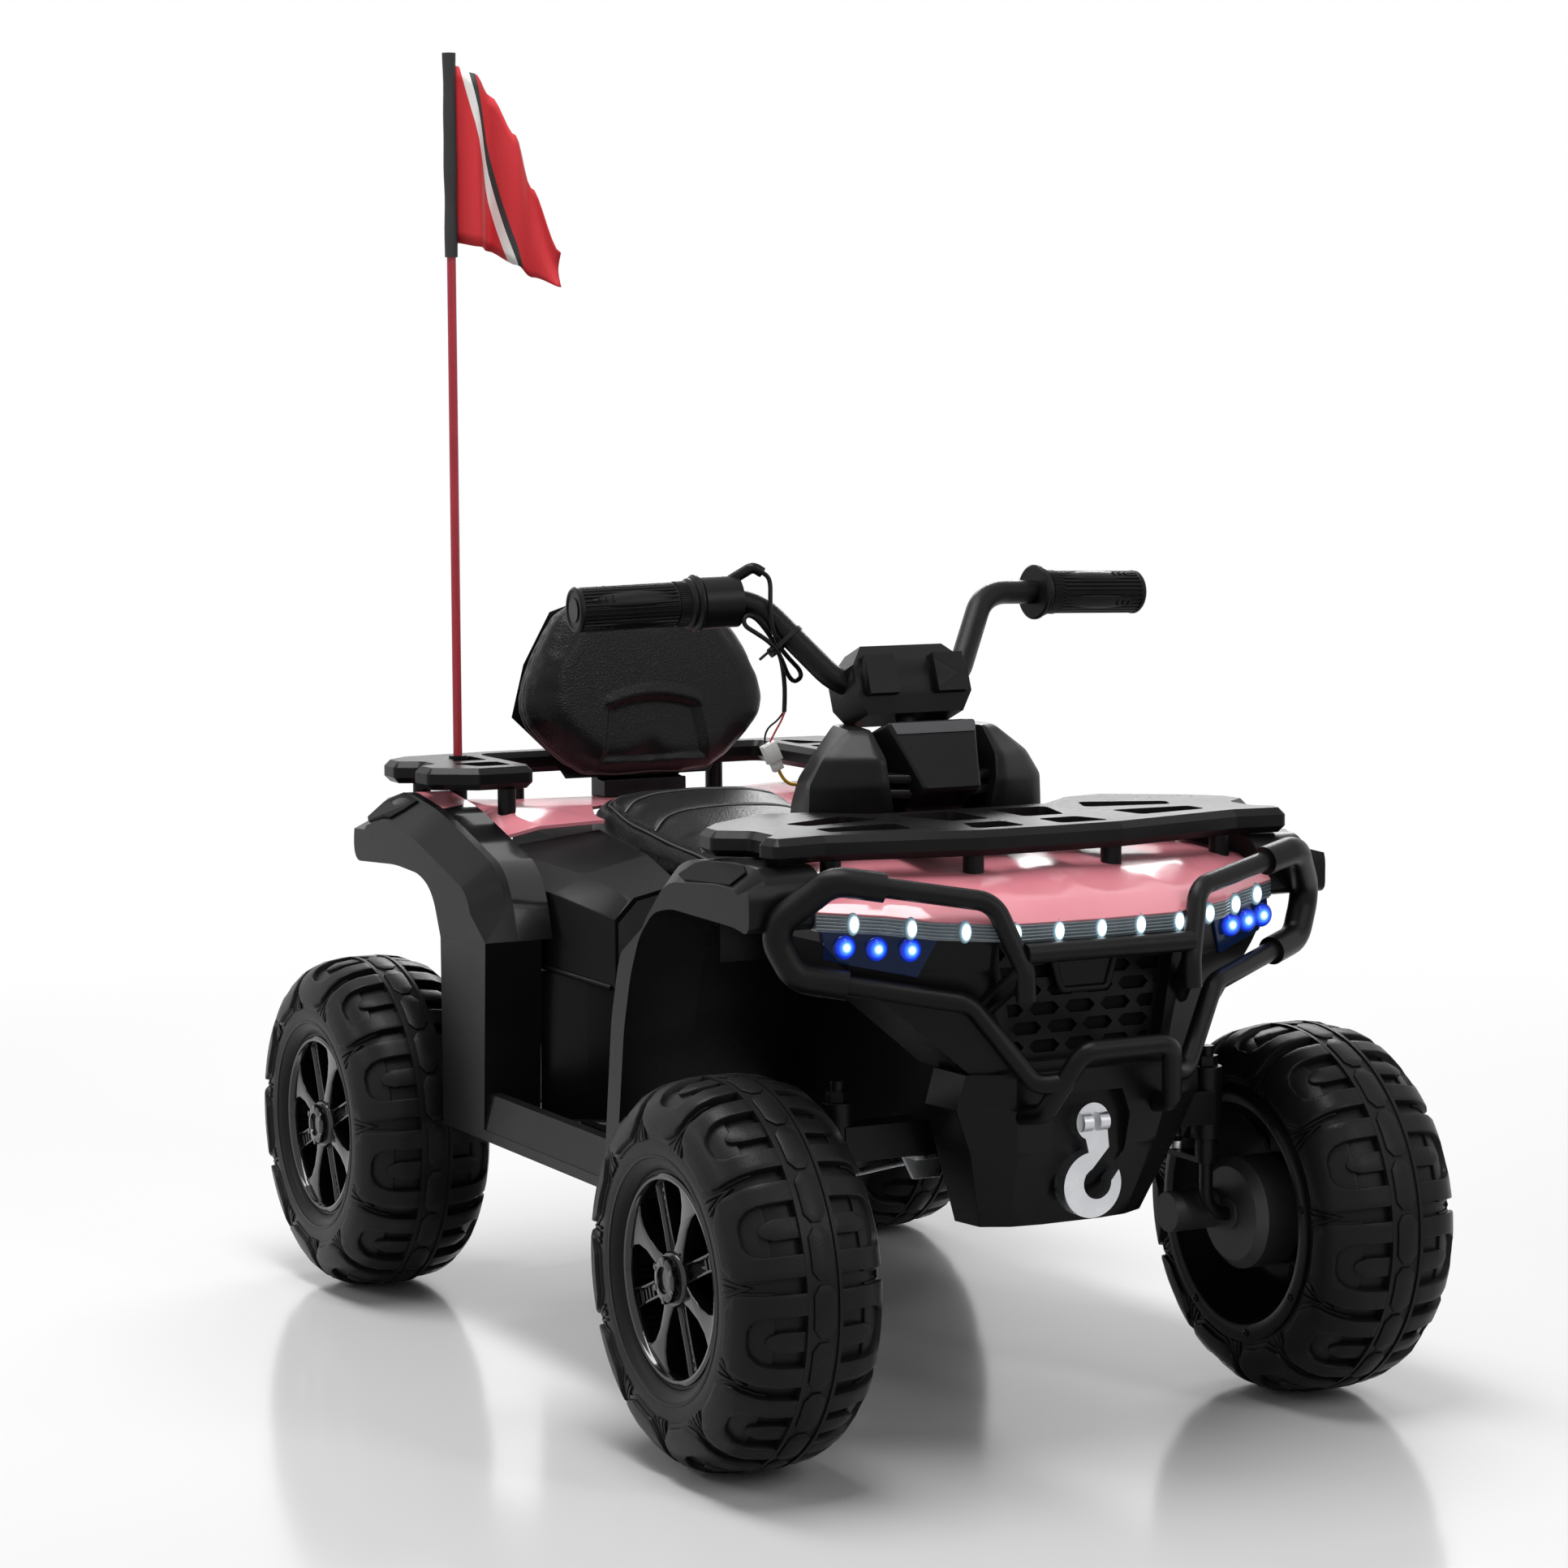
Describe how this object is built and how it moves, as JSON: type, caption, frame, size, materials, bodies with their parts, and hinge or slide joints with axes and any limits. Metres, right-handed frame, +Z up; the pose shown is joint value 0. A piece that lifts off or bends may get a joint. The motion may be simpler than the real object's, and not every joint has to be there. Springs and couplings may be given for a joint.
{
  "type": "kids quad bike",
  "caption": "Child's battery quad bike with treaded wheels, linked steering, twist throttle, racks, bull bar, padded lift-up seat, backrest and a whip flag.",
  "frame": {"origin": "floor level under the middle of the overall box", "axes": "+X forward, +Y to the rider's left, +Z up"},
  "size_m": [1.136, 0.708, 1.2258],
  "materials": {
    "tyre": "matte",
    "gloss_black": "gloss",
    "black_plastic": "satin",
    "black_steel": "satin powder coat",
    "zinc_steel": "zinc plated",
    "grey_plastic": "matte",
    "grip_rubber": "matte",
    "white_plastic": "satin",
    "yellow_wire": "satin",
    "red_plastic": "gloss",
    "pink": "gloss",
    "black_leather": "grained",
    "clear_lens": "clear",
    "white_lamp": "lit",
    "blue_lamp": "lit",
    "aluminium": "satin",
    "crimson": "gloss",
    "black_cloth": "woven",
    "red_cloth": "woven"
  },
  "bodies": {
    "chassis": {"front_axle_beam": "black_steel", "rear_axle": "zinc_steel", "rear_axle_carrier": "black_steel", "rear_gearboxes": "grey_plastic", "column_bush": "black_plastic", "chassis_tub": "black_plastic", "battery": "grey_plastic", "footwells": "black_plastic", "front_fascia": "black_plastic", "lamp_lenses": "clear_lens", "white_lamps": "white_lamp", "blue_lamps": "blue_lamp", "front_fenders": "black_plastic", "rear_fenders": "black_plastic", "side_panels": "black_plastic", "grille": "gloss_black", "skid_plate": "black_plastic", "bull_bar": "black_steel", "tow_hook": "aluminium", "front_rack": "black_plastic", "rear_rack": "black_plastic", "posts_and_socket": "black_plastic", "backrest_pad": "black_leather", "backrest_shell": "black_plastic", "hood": "pink", "rear_deck": "pink", "dash_cowl": "black_plastic", "throttle_plug": "white_plastic", "plug_pigtail": "yellow_wire"},
    "steering": {"steering_column": "black_steel", "handlebar": "black_steel", "bar_clamp": "black_plastic", "left_grip": "grip_rubber", "throttle_housing": "black_plastic", "throttle_cable": "grip_rubber"},
    "throttle": {"throttle_grip": "grip_rubber"},
    "knuckle_right": {"kingpin_right": "zinc_steel", "front_gearbox_right": "grey_plastic"},
    "knuckle_left": {"kingpin_left": "zinc_steel", "front_gearbox_left": "grey_plastic"},
    "tie_rod_right_body": {"tie_rod_right": "zinc_steel"},
    "tie_rod_left_body": {"tie_rod_left": "zinc_steel"},
    "seat_body": {"seat": "black_leather"},
    "power_button_body": {"power_button": "red_plastic"},
    "rocker_body": {"direction_rocker": "gloss_black"},
    "flag_body": {"flag_pole": "crimson", "flag_sleeve": "black_cloth", "flag": "red_cloth"},
    "wheel_front_right": {"front_right_tyre": "tyre", "front_right_rim": "gloss_black", "front_right_wheel_disc": "black_plastic"},
    "wheel_front_left": {"front_left_tyre": "tyre", "front_left_rim": "gloss_black", "front_left_wheel_disc": "black_plastic"},
    "wheel_rear_right": {"rear_right_tyre": "tyre", "rear_right_rim": "gloss_black", "rear_right_wheel_disc": "black_plastic"},
    "wheel_rear_left": {"rear_left_tyre": "tyre", "rear_left_rim": "gloss_black", "rear_left_wheel_disc": "black_plastic"}
  },
  "joints": [
    {"name": "steer", "type": "hinge", "parent": "chassis", "child": "steering", "pos_m": [0.174, 0, 0.628], "axis": [-0.3584, 0, 0.9336], "range_deg": [-25, 25], "deforming": ["throttle_cable"]},
    {"name": "knuckle_right_turn", "type": "hinge", "parent": "chassis", "child": "knuckle_right", "pos_m": [0.397, -0.185, 0.165], "axis": [0, 0, 1], "range_deg": [-26, 26]},
    {"name": "knuckle_left_turn", "type": "hinge", "parent": "chassis", "child": "knuckle_left", "pos_m": [0.397, 0.185, 0.165], "axis": [0, 0, 1], "range_deg": [-26, 26]},
    {"name": "tie_rod_right_swing", "type": "hinge", "parent": "knuckle_right", "child": "tie_rod_right_body", "pos_m": [0.351, -0.185, 0.222], "axis": [0, 0, 1], "range_deg": [-28, 28]},
    {"name": "tie_rod_left_swing", "type": "hinge", "parent": "knuckle_left", "child": "tie_rod_left_body", "pos_m": [0.351, 0.185, 0.222], "axis": [0, 0, 1], "range_deg": [-28, 28]},
    {"name": "front_right_roll", "type": "hinge", "parent": "knuckle_right", "child": "wheel_front_right", "pos_m": [0.397, -0.284, 0.165], "axis": [0, 1, 0], "continuous": true},
    {"name": "front_left_roll", "type": "hinge", "parent": "knuckle_left", "child": "wheel_front_left", "pos_m": [0.397, 0.284, 0.165], "axis": [0, 1, 0], "continuous": true},
    {"name": "rear_right_roll", "type": "hinge", "parent": "chassis", "child": "wheel_rear_right", "pos_m": [-0.403, -0.284, 0.165], "axis": [0, 1, 0], "continuous": true},
    {"name": "rear_left_roll", "type": "hinge", "parent": "chassis", "child": "wheel_rear_left", "pos_m": [-0.403, 0.284, 0.165], "axis": [0, 1, 0], "continuous": true},
    {"name": "throttle_twist", "type": "hinge", "parent": "steering", "child": "throttle", "pos_m": [0.108, -0.292, 0.702], "axis": [-0.0692, -0.9972, -0.0288], "range_deg": [0, 55], "stiffness_Nm_per_rad": 0.3},
    {"name": "seat_lift", "type": "hinge", "parent": "chassis", "child": "seat_body", "pos_m": [0.021, 0, 0.426], "axis": [0, 1, 0], "range_deg": [0, 55]},
    {"name": "power_press", "type": "slide", "parent": "chassis", "child": "power_button_body", "axis": [0.3584, 0, -0.9336], "range_m": [0, 0.003], "stiffness_N_per_m": 400},
    {"name": "direction_tip", "type": "hinge", "parent": "chassis", "child": "rocker_body", "pos_m": [0.13293, 0.016, 0.56198], "axis": [0, 1, 0], "range_deg": [-12, 12]},
    {"name": "flag_pull", "type": "slide", "parent": "chassis", "child": "flag_body", "axis": [0, 0, 1], "range_m": [0, 0.06]}
  ],
  "couplings": [
    {"joint": "knuckle_right_turn", "follows": "steer", "ratio": 1},
    {"joint": "knuckle_left_turn", "follows": "steer", "ratio": 1},
    {"joint": "tie_rod_right_swing", "follows": "steer", "ratio": -1.085},
    {"joint": "tie_rod_left_swing", "follows": "steer", "ratio": -1.085}
  ]
}
